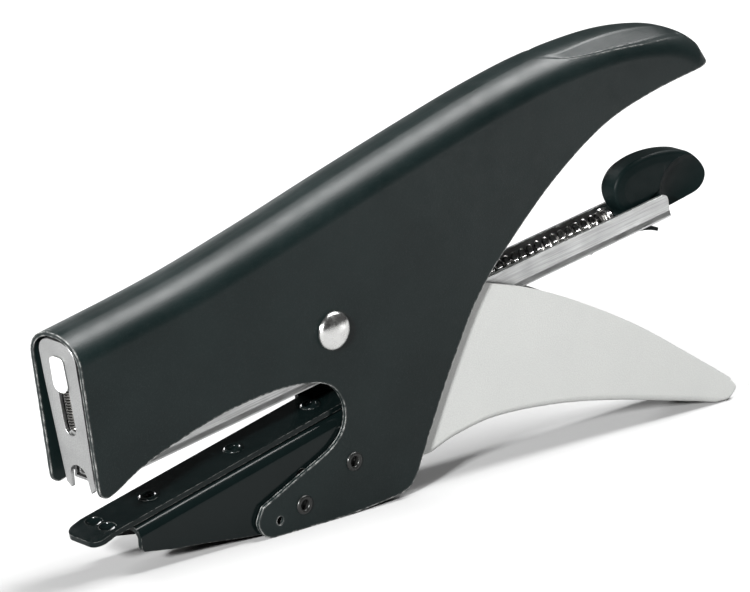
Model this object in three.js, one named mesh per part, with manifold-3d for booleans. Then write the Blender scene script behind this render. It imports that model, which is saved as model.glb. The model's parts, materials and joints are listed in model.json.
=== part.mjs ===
// Plier stapler: a pressed sheet shell that is upper jaw, top handle and lower lip in one piece, an anvil
// arm riveted into the lip, and on one cross rivet a squeezed handle and a staple magazine.
//
// Everything is drawn in the magazine's own frame: x runs back along the magazine floor from the shell's
// front edge, z rises from the floor's underside, y runs across. The whole group is then tilted so that
// the shell's belly and the handle's tip stand on z = 0. Millimetres.

import * as THREE from 'three';
import { mergeVertices } from 'three/addons/utils/BufferGeometryUtils.js';
import Module from 'manifold-3d';

const wasm = await Module();
wasm.setup();

// ---------------------------------------------------------------- driving dimensions

const REST_TILT = THREE.MathUtils.degToRad(9.04); // magazine floor above the table
const GAP = 0.3; // clearance between pieces that touch on the real object
const THROUGH = 10; // half length of a hole's cutter, more than half of any piece's width

const SHELL_HALF = 7; // half of the shell's outer width
const SHELL_SHEET = 0.8;
const DOME_DROP = 5.4; // how far the shell's crown stands above the top of its flat walls

const HANDLE_HALF = 5.8;
const HANDLE_SHEET = 1;

const MAGAZINE_HALF = 4.03;
const MAGAZINE_SHEET = 0.55;
const MAGAZINE_WALL = 4.9; // wall height along the rear of the magazine
const MAGAZINE_END = 146.8;

const PIVOT = new THREE.Vector2(57.3, 10.5);
const PIVOT_RADIUS = 2.5;
const PIVOT_HEAD_RADIUS = 3.7;

const ANVIL_ORIGIN = new THREE.Vector2(7, -8.5); // on the striking surface, above the flange's front edge
const ANVIL_SLOPE = THREE.MathUtils.degToRad(3.7);
const ANVIL_PLATE_HALF = 4.7;
const ANVIL_PLATE_THICKNESS = 1;
const ANVIL_PLATE_FRONT = -7.6;
const ANVIL_PLATE_REAR = 55;
const ANVIL_HALF = 5.9;
const ANVIL_SHEET = 1;
const ANVIL_RIVETS = { front: 8.9, middle: 29.4, rear: 48.5 }; // distance back from ANVIL_ORIGIN
const ANVIL_RIVET_RADIUS = 1.2;
const TONGUE_BEND = -3.4; // the strip's tongue dips ahead of this line
const TONGUE_DIP = 0.65;

const JAW_RIVETS = { front: new THREE.Vector2(45.3, -19.6), rear: new THREE.Vector2(58.2, -16) };
const JAW_HOLE = new THREE.Vector2(39.3, -20.4);
const JAW_RIVET_RADIUS = 1.3;
const JAW_HOLE_RADIUS = 0.85;

const FRONT_PLATE_FOOT = 1.4; // where the front plate's face meets the floor line
const FRONT_PLATE_LEAN = THREE.MathUtils.degToRad(2.15);
const FRONT_PLATE_SHEET = 0.8;
const SLOT_HALF = 1.55;
const SLOT_BOTTOM = 9.9;
const SLOT_TOP = 24.6;
const DRIVER_FACE = FRONT_PLATE_SHEET + GAP;
const DRIVER_SHEET = 0.5;
const DRIVER_HALF = 3.3;
const NOSE_BOTTOM = 19.6;
const NOSE_TOP = 24.3;

const ARM_HALF = 3;
const ARM_SHEET = 0.8;
const ARM_RIVET = new THREE.Vector2(71.5, 9.5);
const ARM_RIVET_RADIUS = 1.2;

const RAIL_HALF = 2.8;
const RAIL_SHEET = 0.45;
const RAIL_FLOOR = 0.85;
const RAIL_TOP = 4.6;
const RAIL_START = 3.6;
const RAIL_END = 108;

const ROD_HEIGHT = 3.4; // centre line of the guide rod and its spring
const ROD_RADIUS = 0.7;
const ROD_END = 141;
const KNOB_HALF = 2.5; // half of the thumb knob's thickness
const PUSHER_SPRING_RADIUS = 2;
const SPRING_WIRE = 0.5;
const FOLLOWER_FRONT = 3.9;
const FOLLOWER_LENGTH = 8;
const SEAT_FACE = 132.6; // front of the washer that the pusher spring presses on

const CATCH_PIN = new THREE.Vector2(127.5, -0.8);
const CATCH_HALF = 1.45;
const CATCH_LUG_HALF = 0.45;
const CATCH_PIN_RADIUS = 0.3;
const CATCH_BORE_RADIUS = 0.5;

// ---------------------------------------------------------------- materials

function finish(colour, roughness, metalness) {
  return new THREE.MeshStandardMaterial({ color: colour, roughness, metalness });
}

const blackPaint = finish(0x1a1e1d, 0.42, 0.1);
const blackGloss = finish(0x0c0e0e, 0.22, 0.2);
const greyPaint = finish(0xd7d9d7, 0.55, 0);
const blackPlastic = finish(0x141918, 0.5, 0);
const whitePlastic = finish(0xe6e8e6, 0.5, 0);
const brightSteel = finish(0xc9cbcb, 0.3, 1);
const brushedSteel = finish(0xd3d2cd, 0.38, 1);
const darkSteel = finish(0x3c3c3a, 0.4, 1);
const springSteel = finish(0x77706a, 0.35, 1);

// ---------------------------------------------------------------- solids

function manifold(positions, corners) {
  const mesh = { numProp: 3, vertProperties: positions, triVerts: Uint32Array.from(corners) };
  return new wasm.Manifold(new wasm.Mesh(mesh));
}

// Turns a closed geometry into a solid whose faces point out, whichever way its profile was drawn.
function toSolid(geometry) {
  const bare = geometry.clone();
  bare.deleteAttribute('normal');
  bare.deleteAttribute('uv');
  const merged = mergeVertices(bare, 1e-4);
  const corners = [];
  for (let i = 0; i < merged.index.count; i += 3) {
    const [a, b, c] = [0, 1, 2].map((step) => merged.index.getX(i + step));
    if (a !== b && b !== c && c !== a) corners.push(a, b, c);
  }
  const positions = Float32Array.from(merged.attributes.position.array);
  const solid = manifold(positions, corners);
  return solid.volume() > 0 ? solid : manifold(positions, corners.reverse());
}

function toGeometry(solid) {
  const mesh = solid.getMesh();
  const geometry = new THREE.BufferGeometry();
  geometry.setAttribute('position', new THREE.BufferAttribute(mesh.vertProperties, 3));
  geometry.setIndex(new THREE.BufferAttribute(mesh.triVerts, 1));
  geometry.computeVertexNormals();
  return geometry;
}

function join(...solids) {
  return solids.reduce((whole, next) => whole.add(next));
}

function cut(solid, ...tools) {
  return tools.reduce((whole, tool) => whole.subtract(tool), solid);
}

function named(name, solid, material) {
  const mesh = new THREE.Mesh(toGeometry(solid), material);
  mesh.name = name;
  return mesh;
}

// ---------------------------------------------------------------- shapes

function points(...pairs) {
  return pairs.map(([x, y]) => new THREE.Vector2(x, y));
}

// A side view extruded across the stapler, centred on y = middle.
function across(shape, width, middle = 0, curveSegments = 4) {
  const geometry = new THREE.ExtrudeGeometry(shape, { depth: width, bevelEnabled: false, curveSegments });
  geometry.translate(0, 0, -width / 2);
  geometry.rotateX(Math.PI / 2);
  geometry.translate(0, middle, 0);
  return toSolid(geometry);
}

// A front view (x of the shape is y, y of the shape is z) extruded backwards from x = start.
function backwards(shape, length, start, curveSegments = 6) {
  const geometry = new THREE.ExtrudeGeometry(shape, { depth: length, bevelEnabled: false, curveSegments });
  geometry.rotateX(Math.PI / 2);
  geometry.rotateZ(Math.PI / 2);
  geometry.translate(start, 0, 0);
  return toSolid(geometry);
}

// A plan view (x, y) extruded downwards from z = top.
function downwards(shape, depth, top, curveSegments = 6) {
  const geometry = new THREE.ExtrudeGeometry(shape, { depth, bevelEnabled: false, curveSegments });
  geometry.translate(0, 0, top - depth);
  return toSolid(geometry);
}

function block(x0, x1, y0, y1, z0, z1) {
  const geometry = new THREE.BoxGeometry(x1 - x0, y1 - y0, z1 - z0);
  geometry.translate((x0 + x1) / 2, (y0 + y1) / 2, (z0 + z1) / 2);
  return toSolid(geometry);
}

function disc(radius, centre = new THREE.Vector2()) {
  const shape = new THREE.Shape();
  shape.absarc(centre.x, centre.y, radius, 0, 2 * Math.PI);
  return shape;
}

// A bar across the stapler, used as a hole when it is longer than what it cuts.
function crossBar(centre, radius, half, segments = 24) {
  const geometry = new THREE.CylinderGeometry(radius, radius, 2 * half, segments);
  geometry.translate(centre.x, 0, centre.y);
  return toSolid(geometry);
}

function pivotHole() {
  return crossBar(PIVOT, PIVOT_RADIUS + GAP, THROUGH);
}

// The lip's holes, with each place carried into the frame of the piece that is drilled.
function jawHoles(local) {
  const radius = JAW_RIVET_RADIUS + GAP;
  const rivets = Object.values(JAW_RIVETS).map((place) => crossBar(local(place), radius, THROUGH, 16));
  return [...rivets, crossBar(local(JAW_HOLE), JAW_HOLE_RADIUS, THROUGH, 12)];
}

function anvilRivetHoles() {
  const radius = ANVIL_RIVET_RADIUS + GAP;
  return Object.values(ANVIL_RIVETS).map((x) => downwards(disc(radius, new THREE.Vector2(x, 0)), 5, 1));
}

// A profile of [radius, height] pairs turned about the y axis at centre.
function turnedAcross(profile, centre, segments = 32) {
  const geometry = new THREE.LatheGeometry(points(...profile), segments);
  geometry.translate(centre.x, 0, centre.y);
  return toSolid(geometry);
}

// A profile of [radius, height] pairs turned about the vertical through (x, 0).
function turnedUpright(profile, x, segments = 24) {
  const geometry = new THREE.LatheGeometry(points(...profile), segments);
  geometry.rotateX(Math.PI / 2);
  geometry.translate(x, 0, 0);
  return toSolid(geometry);
}

// A profile of [radius, distance] pairs turned about a line that runs back at the given height.
function turnedAlong(profile, height, segments = 20) {
  const geometry = new THREE.LatheGeometry(points(...profile), segments);
  geometry.rotateZ(-Math.PI / 2);
  geometry.translate(0, 0, height);
  return toSolid(geometry);
}

function tubeProfile(inner, outer, from, to) {
  return [[inner, from], [outer, from], [outer, to], [inner, to], [inner, from]];
}

// ---------------------------------------------------------------- shell

// The crown line of the shell, closed far below it. Inset by DOME_DROP at the walls, it makes the rounded
// back of the shell and of the tail in one bevel.
function crownShape(inset) {
  const shape = new THREE.Shape();
  shape.moveTo(-12, -45);
  shape.lineTo(161.1 - inset, -45);
  shape.lineTo(161.1 - inset, 27);
  shape.splineThru(points(
    [159.8 - inset, 31 - inset * 0.3], [155.4 - inset * 0.6, 35 - inset * 0.8], [148, 38.5 - inset],
    [136, 41.2 - inset], [120, 42.1 - inset], [105, 41.3 - inset], [89, 39.5 - inset], [66, 36.5 - inset],
    [44, 33.4 - inset], [22, 31 - inset], [-12, 29.4 - inset],
  ));
  shape.closePath();
  return shape;
}

function crownBlank(inset) {
  const half = SHELL_HALF - inset;
  const flat = 0.4; // half width of the strip along the crown that the bevel leaves
  const drop = DOME_DROP - inset / 2;
  const geometry = new THREE.ExtrudeGeometry(crownShape(inset), {
    depth: 2 * flat,
    bevelThickness: half - flat,
    bevelSize: drop,
    bevelOffset: -drop,
    bevelSegments: 7,
    curveSegments: 3,
  });
  geometry.translate(0, 0, -flat);
  geometry.rotateX(Math.PI / 2);
  return toSolid(geometry);
}

// The side view of the shell: square at the top, where the crown blank trims it.
function shellSideShape() {
  const shape = new THREE.Shape();
  shape.moveTo(0.1, 60);
  shape.lineTo(0.1, 1.2);
  shape.quadraticCurveTo(0.2, -1.1, 2.6, -0.7);
  shape.splineThru(points(
    [4.6, -0.1], [9.6, 1.7], [16.8, 3.2], [28.9, 4.6], [40, 4.5], [48, 3.3], [54.5, 0.8], [57.5, -3.4],
    [57.2, -8.2], [53.5, -11.5], [44.5, -14.1], [35.9, -16.5],
  ));
  shape.splineThru(points([34.3, -19.2], [35.4, -22], [37.5, -23.08]));
  shape.lineTo(51, -25.22);
  shape.splineThru(points([60, -26.2], [69.2, -26.6], [72.4, -24.9], [74.6, -21.8]));
  shape.splineThru(points(
    [77.2, -17.6], [83.8, -7.7], [93.4, 4.5], [105.2, 13.5], [116.7, 20.5], [129.4, 25.8], [142, 27.8],
    [156.4, 28.3],
  ));
  shape.lineTo(175, 28.3);
  shape.lineTo(175, 60);
  shape.closePath();
  return shape;
}

function bodyShell() {
  const outside = crownBlank(0).intersect(across(shellSideShape(), 2 * THROUGH, 0, 3));
  const holes = [pivotHole(), ...jawHoles((place) => place)];
  return named('body_shell', cut(outside, crownBlank(SHELL_SHEET), ...holes), blackPaint);
}

function mainPivotRivet() {
  const face = SHELL_HALF + GAP / 2;
  const head = [[3.5, 0.55], [2.8, 1.05], [1.6, 1.5], [0, 1.7]];
  const near = head.map(([radius, height]) => [radius, -face - height]).reverse();
  const far = head.map(([radius, height]) => [radius, face + height]);
  const profile = [
    ...near, [PIVOT_HEAD_RADIUS, -face], [PIVOT_RADIUS, -face], [PIVOT_RADIUS, face],
    [PIVOT_HEAD_RADIUS, face], ...far,
  ];
  return named('main_pivot_rivet', turnedAcross(profile, PIVOT), brightSteel);
}

function pivotSleeve() {
  const profile = tubeProfile(PIVOT_RADIUS + GAP, 3.4, -1.9, 1.9);
  return named('pivot_sleeve', turnedAcross(profile, PIVOT, 24), darkSteel);
}

// The coil round the pivot sleeve, with one leg under the crown and one under the drive arm.
function handleTorsionSpring() {
  const coil = turnedAcross(tubeProfile(3.7, 4.5, -1.6, 1.6), PIVOT, 24);
  const upperLeg = new THREE.Shape(points([60.6, 12], [61.4, 11.6], [77.2, 35.4], [76.4, 35.8]));
  const lowerLeg = new THREE.Shape(points([54, 12.2], [53.6, 13], [34.4, 17], [34.4, 16.2]));
  const spring = join(coil, across(upperLeg, 0.8, 1.1), across(lowerLeg, 0.8, -1.1));
  return named('handle_torsion_spring', spring, springSteel);
}

// ---------------------------------------------------------------- anvil, in its own sloping frame

function anvilPlate() {
  const half = ANVIL_PLATE_HALF;
  const corner = 2.4;
  const plan = new THREE.Shape();
  plan.moveTo(ANVIL_PLATE_REAR, -half);
  plan.lineTo(ANVIL_PLATE_REAR, half);
  plan.lineTo(ANVIL_PLATE_FRONT + corner, half);
  plan.absarc(ANVIL_PLATE_FRONT + corner, half - corner, corner, Math.PI / 2, Math.PI);
  plan.absarc(ANVIL_PLATE_FRONT + corner, corner - half, corner, Math.PI, 1.5 * Math.PI);
  plan.closePath();
  const groove = (side) => block(-3.7, -1.6, side * 1.9 - 1.5, side * 1.9 + 1.5, -0.4, 1);
  const side = new THREE.Shape();
  side.moveTo(ANVIL_PLATE_REAR + 1, 0);
  side.lineTo(TONGUE_BEND, 0);
  side.lineTo(ANVIL_PLATE_FRONT - 1, -TONGUE_DIP);
  side.lineTo(ANVIL_PLATE_FRONT - 1, -TONGUE_DIP - ANVIL_PLATE_THICKNESS);
  side.lineTo(TONGUE_BEND, -ANVIL_PLATE_THICKNESS);
  side.lineTo(ANVIL_PLATE_REAR + 1, -ANVIL_PLATE_THICKNESS);
  const strip = across(side, 2 * THROUGH).intersect(downwards(plan, 6, 2));
  return named('anvil_plate', cut(strip, ...anvilRivetHoles(), groove(-1), groove(1)), blackGloss);
}

function anvilArm() {
  const top = -ANVIL_PLATE_THICKNESS - GAP;
  const side = new THREE.Shape();
  side.moveTo(1.4, top);
  side.lineTo(1, -5);
  side.quadraticCurveTo(1, -6, 2, -6.3);
  side.splineThru(points([8, -8.6], [15, -10.9], [28, -15.3], [40, -17.6], [55, -20.1], [62, -20.8]));
  side.lineTo(62.4, -18);
  side.lineTo(59.5, -9);
  side.lineTo(54.5, top);
  side.closePath();
  const inner = ANVIL_HALF - ANVIL_SHEET;
  const hollow = block(-5, 80, -inner, inner, -40, top - ANVIL_SHEET);
  const local = (place) => place.clone().sub(ANVIL_ORIGIN).rotateAround(new THREE.Vector2(), -ANVIL_SLOPE);
  const arm = cut(across(side, 2 * ANVIL_HALF, 0, 3), hollow, ...anvilRivetHoles(), ...jawHoles(local));
  return named('anvil_arm', arm, blackGloss);
}

function anvilRivet(name, x) {
  const under = -ANVIL_PLATE_THICKNESS - ANVIL_SHEET - 2 * GAP;
  const shank = ANVIL_RIVET_RADIUS;
  const profile = [
    [0, under - 0.6], [1.7, under - 0.6], [1.9, under], [shank, under], [shank, 0.15], [1.9, 0.15],
    [1.7, 0.4], [1.2, 0.4], [0.7, 0], [0, -0.1],
  ];
  return named(name, turnedUpright(profile, x), blackGloss);
}

function anvil() {
  const group = new THREE.Group();
  group.position.set(ANVIL_ORIGIN.x, 0, ANVIL_ORIGIN.y);
  group.rotation.y = -ANVIL_SLOPE;
  group.add(anvilPlate(), anvilArm());
  for (const [place, x] of Object.entries(ANVIL_RIVETS)) group.add(anvilRivet(`anvil_rivet_${place}`, x));
  return group;
}

// A tubular rivet through the lip and the anvil arm, hollow for a little way at each end.
function jawRivet(name, centre) {
  const face = SHELL_HALF + GAP / 2;
  const shank = JAW_RIVET_RADIUS;
  const profile = [
    [0, 0.9 - face], [0.9, 0.7 - face], [1, -face - 0.35], [1.5, -face - 0.35], [1.8, -face], [shank, -face],
    [shank, face], [1.8, face], [1.5, face + 0.35], [1, face + 0.35], [0.9, face - 0.7], [0, face - 0.9],
  ];
  return named(name, turnedAcross(profile, centre, 20), darkSteel);
}

// ---------------------------------------------------------------- squeezed handle and drive arm

function handleShape() {
  const shape = new THREE.Shape();
  shape.moveTo(96.2, 5.2);
  shape.splineThru(points([84, 10.5], [72, 16.2], [61, 18.6]));
  shape.absarc(PIVOT.x, PIVOT.y, 8.6, 1.1, 4.2);
  shape.splineThru(points([60, 2.2], [66, -3], [70.8, -12], [73.8, -20]));
  shape.quadraticCurveTo(74.4, -23.3, 77.5, -23.1);
  shape.splineThru(points(
    [84.3, -21.9], [96, -22.2], [111.4, -25.7], [126.9, -30.9], [142.6, -37.2], [153, -41.45],
  ));
  shape.lineTo(155.2, -41.8);
  shape.splineThru(points([157.6, -41.2], [158.4, -39.4], [157, -37.7]));
  shape.splineThru(points(
    [147.8, -29.6], [132.9, -17], [118.1, -6.5], [107.1, 0.1], [96.2, 5.2],
  ));
  return shape;
}

// The web that closes the handle along its lower edge: a strip between that edge and a parallel above it.
function handleWebCut() {
  const shape = new THREE.Shape();
  shape.moveTo(40, 40);
  shape.lineTo(40, -24);
  shape.lineTo(74, -24);
  shape.lineTo(77.5, -22.1);
  shape.splineThru(points(
    [84.3, -20.9], [96, -21.2], [111.1, -24.7], [126.6, -29.9], [142.2, -36.2], [153, -40.4],
  ));
  shape.splineThru(points([156.2, -40.4], [157.2, -39.2], [156.2, -38.2]));
  shape.lineTo(150, -25);
  shape.lineTo(120, 40);
  shape.closePath();
  return shape;
}

function armRivetHole() {
  return crossBar(ARM_RIVET, ARM_RIVET_RADIUS + GAP, THROUGH, 16);
}

function lowerHandle() {
  const inner = HANDLE_HALF - HANDLE_SHEET;
  const channel = cut(across(handleShape(), 2 * HANDLE_HALF), across(handleWebCut(), 2 * inner));
  const handle = cut(channel, pivotHole(), armRivetHole());
  return named('lower_handle', handle, greyPaint);
}

// The drive arm is a channel, open below, that runs from the pivot forwards above the magazine.
function driveArm() {
  const side = new THREE.Shape();
  side.moveTo(5.9, 25.2);
  side.lineTo(5.9, 18);
  side.splineThru(points([24, 13.4], [46, 7.6], [54.5, 6.4]));
  side.absarc(PIVOT.x, PIVOT.y, 4.9, 4.2, 5);
  side.splineThru(points(
    [64, 6.6], [71, 6.1], [74.8, 8.4], [73.6, 12.4], [62, 16.4], [50, 18.6], [26, 23.2],
  ));
  side.closePath();
  const inner = ARM_HALF - ARM_SHEET;
  const underWeb = new THREE.Shape(points(
    [0, 24.4], [26, 22.4], [49, 17.9], [49, 30], [90, 30], [90, 0], [0, 0],
  ));
  const channel = cut(across(side, 2 * ARM_HALF), across(underWeb, 2 * inner));
  return named('drive_arm', cut(channel, pivotHole(), armRivetHole()), darkSteel);
}

function armRivet() {
  const face = HANDLE_HALF + 0.05;
  const back = face + 0.25;
  const shank = ARM_RIVET_RADIUS;
  const profile = [
    [0, -back], [1.9, -back], [1.9, -face], [shank, -face],
    [shank, face], [1.9, face], [1.9, back], [0, back],
  ];
  return named('arm_rivet', turnedAcross(profile, ARM_RIVET, 20), darkSteel);
}

// ---------------------------------------------------------------- front plate, driver and nose

// These are drawn in the front plate's frame: x = 0 is its face, z runs up it.
function frontPlate() {
  const outline = new THREE.Shape();
  outline.moveTo(-2.9, -0.9);
  outline.lineTo(-3.95, 0);
  outline.lineTo(-4.9, 20);
  outline.lineTo(-4.95, 25.4);
  outline.quadraticCurveTo(-4.75, 27.9, -1.8, 28.5);
  outline.lineTo(1.8, 28.5);
  outline.quadraticCurveTo(4.75, 27.9, 4.95, 25.4);
  outline.lineTo(4.9, 20);
  outline.lineTo(3.95, 0);
  outline.lineTo(2.9, -0.9);
  outline.lineTo(2.6, -0.9);
  outline.lineTo(2.3, 1.7);
  outline.absarc(0, 1.7, 2.3, 0, Math.PI);
  outline.lineTo(-2.6, -0.9);
  const slot = new THREE.Path();
  slot.moveTo(-SLOT_HALF, SLOT_TOP);
  slot.lineTo(-SLOT_HALF, SLOT_BOTTOM + SLOT_HALF);
  slot.absarc(0, SLOT_BOTTOM + SLOT_HALF, SLOT_HALF, Math.PI, 2 * Math.PI);
  slot.lineTo(SLOT_HALF, SLOT_TOP);
  outline.holes.push(slot);
  const tab = block(0.3, 2.8, -1.2, 1.2, SLOT_BOTTOM - 1, SLOT_BOTTOM);
  return named('front_plate', join(backwards(outline, FRONT_PLATE_SHEET, 0), tab), brushedSteel);
}

// The driver is a fork: a blade below, two prongs beside the return spring, and a bent tab on each prong
// that the nose presses on.
function driverBlade() {
  const window = SLOT_HALF + 0.1;
  const bottom = 6.2;
  const top = 19.3;
  const blade = block(DRIVER_FACE, DRIVER_FACE + DRIVER_SHEET, -DRIVER_HALF, DRIVER_HALF, bottom, top);
  const opening = block(0, 5, -window, window, 8.4, top + 1);
  const tabs = [-1, 1].map((side) => {
    const edges = [side * (window + 0.15), side * DRIVER_HALF].sort((a, b) => a - b);
    return block(DRIVER_FACE, 3.9, edges[0], edges[1], top - 0.6, top);
  });
  return named('driver_blade', join(cut(blade, opening), ...tabs), brightSteel);
}

function returnSpring() {
  const profile = tubeProfile(0.8, 1.25, SLOT_BOTTOM + 0.75, NOSE_BOTTOM - 0.15);
  return named('return_spring', turnedUpright(profile, 1.4, 16), springSteel);
}

function driveNose() {
  const head = new THREE.Shape();
  head.moveTo(-1.8, 20.2);
  head.quadraticCurveTo(-1.8, 18.5, 0, 18.5);
  head.quadraticCurveTo(1.8, 18.5, 1.8, 20.2);
  head.lineTo(1.7, 24);
  head.quadraticCurveTo(1.7, 25.3, 0.6, 25.3);
  head.lineTo(-0.6, 25.3);
  head.quadraticCurveTo(-1.7, 25.3, -1.7, 24);
  const face = backwards(head, 0.35, -0.5);
  const neck = block(-0.3, 2.6, -1.25, 1.25, NOSE_BOTTOM, NOSE_TOP);
  const shoulder = block(2.4, 4.8, -2.9, 2.9, NOSE_BOTTOM, NOSE_TOP);
  const tail = block(4.6, 10, -1.9, 1.9, NOSE_BOTTOM + 0.4, NOSE_TOP - 1.6);
  return named('drive_nose', join(face, neck, shoulder, tail), whitePlastic);
}

function head() {
  const group = new THREE.Group();
  group.position.x = FRONT_PLATE_FOOT;
  group.rotation.y = -FRONT_PLATE_LEAN;
  group.add(frontPlate(), driverBlade(), returnSpring(), driveNose());
  return group;
}

// ---------------------------------------------------------------- magazine

function magazineChannel() {
  const side = new THREE.Shape();
  side.moveTo(2.6, 0);
  side.lineTo(MAGAZINE_END, 0);
  side.lineTo(MAGAZINE_END, MAGAZINE_WALL - 1.8);
  side.quadraticCurveTo(MAGAZINE_END, MAGAZINE_WALL, MAGAZINE_END - 1.8, MAGAZINE_WALL);
  side.lineTo(66, MAGAZINE_WALL);
  side.quadraticCurveTo(63.6, MAGAZINE_WALL, 63.2, 8);
  side.absarc(PIVOT.x, PIVOT.y, 6.2, 0, Math.PI);
  side.quadraticCurveTo(51, MAGAZINE_WALL, 47, MAGAZINE_WALL);
  side.lineTo(22, MAGAZINE_WALL);
  side.quadraticCurveTo(14, 5.2, 11.4, 19.6);
  side.lineTo(1.9, 20.4);
  side.closePath();
  const inner = MAGAZINE_HALF - MAGAZINE_SHEET;
  const floorStart = RAIL_START - 0.2;
  const hollow = block(-5, 160, -inner, inner, MAGAZINE_SHEET, 40);
  const throatCut = block(-5, floorStart, -inner, inner, -5, 2);
  const hookHole = block(137.6, 140.6, -1.1, 1.1, -2, 2);
  const lug = new THREE.Shape(points([126, 0.2], [126.7, -1.4], [128.3, -1.4], [129, 0.2]));
  const walls = cut(across(side, 2 * MAGAZINE_HALF), hollow, throatCut, hookHole);
  const channel = join(walls, across(lug, 2 * CATCH_LUG_HALF));
  return named('magazine_channel', cut(channel, pivotHole(), catchBore()), brushedSteel);
}

function stapleRail() {
  const inner = RAIL_HALF - RAIL_SHEET;
  const outside = block(RAIL_START, RAIL_END, -RAIL_HALF, RAIL_HALF, RAIL_FLOOR, RAIL_TOP);
  const inside = block(0, 120, -inner, inner, RAIL_FLOOR + RAIL_SHEET, 10);
  return named('staple_rail', cut(outside, inside), brushedSteel);
}

function catchBore() {
  return crossBar(CATCH_PIN, CATCH_BORE_RADIUS, THROUGH, 12);
}

function catchPin() {
  return named('catch_pin', crossBar(CATCH_PIN, CATCH_PIN_RADIUS, CATCH_HALF + 0.1, 12), brightSteel);
}

// A forked arm under the magazine floor, with a hook up through the floor and a finger tip at its end.
function releaseCatch() {
  const side = new THREE.Shape();
  side.moveTo(127.5, -1.2);
  side.lineTo(138, -1);
  side.quadraticCurveTo(142, -1.2, 145.3, -3);
  side.lineTo(145.6, -2.4);
  side.quadraticCurveTo(142.4, -0.5, 139.6, -0.4);
  side.lineTo(127.5, -0.4);
  const hook = block(138.2, 139.6, -0.8, 0.8, -1, 0.7);
  const bar = join(across(side, 2 * CATCH_HALF), crossBar(CATCH_PIN, 0.65, CATCH_HALF, 20), hook);
  const fork = block(120, 130, -CATCH_LUG_HALF - GAP, CATCH_LUG_HALF + GAP, -4, 2);
  return named('release_catch', cut(bar, fork, catchBore()), blackPlastic);
}

// ---------------------------------------------------------------- loader that slides out of the magazine

function follower() {
  const back = FOLLOWER_FRONT + FOLLOWER_LENGTH;
  const stemHalf = RAIL_HALF - RAIL_SHEET - GAP;
  const stem = block(FOLLOWER_FRONT, back, -stemHalf, stemHalf, RAIL_FLOOR + RAIL_SHEET + GAP, 5.3);
  const cap = block(FOLLOWER_FRONT, back, -3.15, 3.15, RAIL_TOP + 0.25, 5.35);
  const radius = ROD_RADIUS + GAP;
  const bore = turnedAlong([[0, -5], [radius, -5], [radius, 40], [0, 40]], ROD_HEIGHT);
  return named('follower', cut(join(stem, cap), bore), darkSteel);
}

function guideRod() {
  const profile = [[0, 5.2], [0.5, 5.2], [ROD_RADIUS, 5.5], [ROD_RADIUS, ROD_END], [0, ROD_END]];
  return named('guide_rod', turnedAlong(profile, ROD_HEIGHT, 14), brightSteel);
}

function pusherSpring() {
  const start = FOLLOWER_FRONT + FOLLOWER_LENGTH + 0.2;
  const inner = PUSHER_SPRING_RADIUS - SPRING_WIRE;
  const profile = tubeProfile(inner, PUSHER_SPRING_RADIUS, start, SEAT_FACE - 0.2);
  return named('pusher_spring', turnedAlong(profile, ROD_HEIGHT), springSteel);
}

function springSeat() {
  const profile = tubeProfile(ROD_RADIUS + GAP, 2.3, SEAT_FACE, SEAT_FACE + 1.1);
  return named('spring_seat', turnedAlong(profile, ROD_HEIGHT), brightSteel);
}

// The knob is an ear-shaped grip with a dished side, on a foot that fills the end of the channel.
function thumbKnob() {
  const foot = block(134.2, 146.4, -3.1, 3.1, MAGAZINE_SHEET + 0.4, 4.6);
  const ear = new THREE.Shape();
  ear.moveTo(138.4, 1.1);
  ear.splineThru(points(
    [136.4, 4], [134.9, 6.9], [134.8, 9.5], [136.3, 11.6], [138.6, 12.7], [142.6, 13.2], [147.3, 12.8],
    [152, 11.6], [155.3, 10], [158, 7.2], [159.1, 4.7], [158.4, 2.7], [156.4, 1.5], [153, 1.1],
  ));
  ear.lineTo(148, 1.1);
  ear.closePath();
  const side = 0.8;
  const geometry = new THREE.ExtrudeGeometry(ear, {
    depth: 2 * (KNOB_HALF - side),
    bevelThickness: side,
    bevelSize: side,
    bevelOffset: -side,
    bevelSegments: 3,
    curveSegments: 4,
  });
  geometry.translate(0, 0, side - KNOB_HALF);
  geometry.rotateX(Math.PI / 2);
  const dishes = [-1, 1].map((end) => {
    const dish = new THREE.SphereGeometry(1, 28, 16);
    dish.scale(8.4, 3.8, 6.6);
    dish.translate(153, end * (KNOB_HALF + 2), 4.8);
    return toSolid(dish);
  });
  const bore = ROD_RADIUS + GAP;
  const rodHole = turnedAlong([[0, 130], [bore, 130], [bore, ROD_END + 0.4], [0, ROD_END + 0.4]], ROD_HEIGHT);
  return named('thumb_knob', cut(join(foot, toSolid(geometry)), ...dishes, rodHole), blackPlastic);
}

// ---------------------------------------------------------------- assembly

const stapler = new THREE.Group();
stapler.add(
  bodyShell(),
  mainPivotRivet(),
  pivotSleeve(),
  handleTorsionSpring(),
  anvil(),
  jawRivet('jaw_rivet_front', JAW_RIVETS.front),
  jawRivet('jaw_rivet_rear', JAW_RIVETS.rear),
  lowerHandle(),
  driveArm(),
  armRivet(),
  head(),
  magazineChannel(),
  stapleRail(),
  catchPin(),
  releaseCatch(),
  follower(),
  guideRod(),
  pusherSpring(),
  springSeat(),
  thumbKnob(),
);
stapler.rotation.y = -REST_TILT;

// The origin is the middle of the underside of the bounding box.
stapler.updateMatrixWorld(true);
const extent = new THREE.Box3().setFromObject(stapler, true);
const middle = extent.getCenter(new THREE.Vector3());
stapler.position.set(-middle.x, -middle.y, -extent.min.z);
stapler.updateMatrixWorld(true);

export default stapler;
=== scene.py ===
import json
import math

import bmesh
import bpy
from mathutils import Matrix, Vector
from mathutils.geometry import delaunay_2d_cdt


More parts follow.
